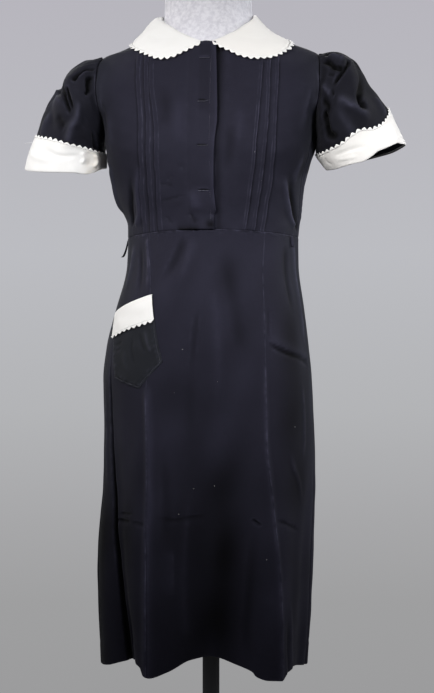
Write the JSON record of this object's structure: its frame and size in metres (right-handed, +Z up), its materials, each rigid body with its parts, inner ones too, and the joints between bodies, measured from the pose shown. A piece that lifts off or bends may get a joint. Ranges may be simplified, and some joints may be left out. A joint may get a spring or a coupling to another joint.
{
  "type": "work uniform dress on a dress form",
  "caption": "Short-sleeved dark work dress with a round white collar, turned-up white cuffs and a white-banded hip pocket, worn by a limbless dress form on a pole and round base.",
  "frame": {"origin": "centre of the stand's base, on the surface it rests on", "axes": "+Z up along the pole, -Y is the dress's front, +X is the wearer's left"},
  "size_m": [0.6111, 0.38, 1.45],
  "materials": {
    "black_cotton": "matt plain-weave cotton, black with a slight violet cast, softly creased",
    "white_cotton": "matt off-white plain-weave cotton",
    "zigzag_braid": "off-white woven zigzag braid",
    "form_jersey": "mottled light grey jersey stretched over the form",
    "stand_metal": "black satin paint"
  },
  "bodies": {
    "root": {"bodice_front_right": "black_cotton", "bodice_front_left": "black_cotton", "bodice_back": "black_cotton", "skirt_front": "black_cotton", "skirt_side_front_right": "black_cotton", "skirt_side_front_left": "black_cotton", "skirt_side_back_right": "black_cotton", "skirt_side_back_left": "black_cotton", "skirt_back": "black_cotton", "sleeve_right": "black_cotton", "sleeve_left": "black_cotton", "pocket_patch": "black_cotton", "belt_loop_right": "black_cotton", "belt_loop_left": "black_cotton", "cuff_right": "white_cotton", "cuff_left": "white_cotton", "collar": "white_cotton", "pocket_band": "white_cotton", "collar_edging": "zigzag_braid", "cuff_edging_right": "zigzag_braid", "cuff_edging_left": "zigzag_braid", "pocket_edging": "zigzag_braid", "form_torso": "form_jersey", "stand_base": "stand_metal", "stand_pole": "stand_metal"}
  },
  "joints": []
}
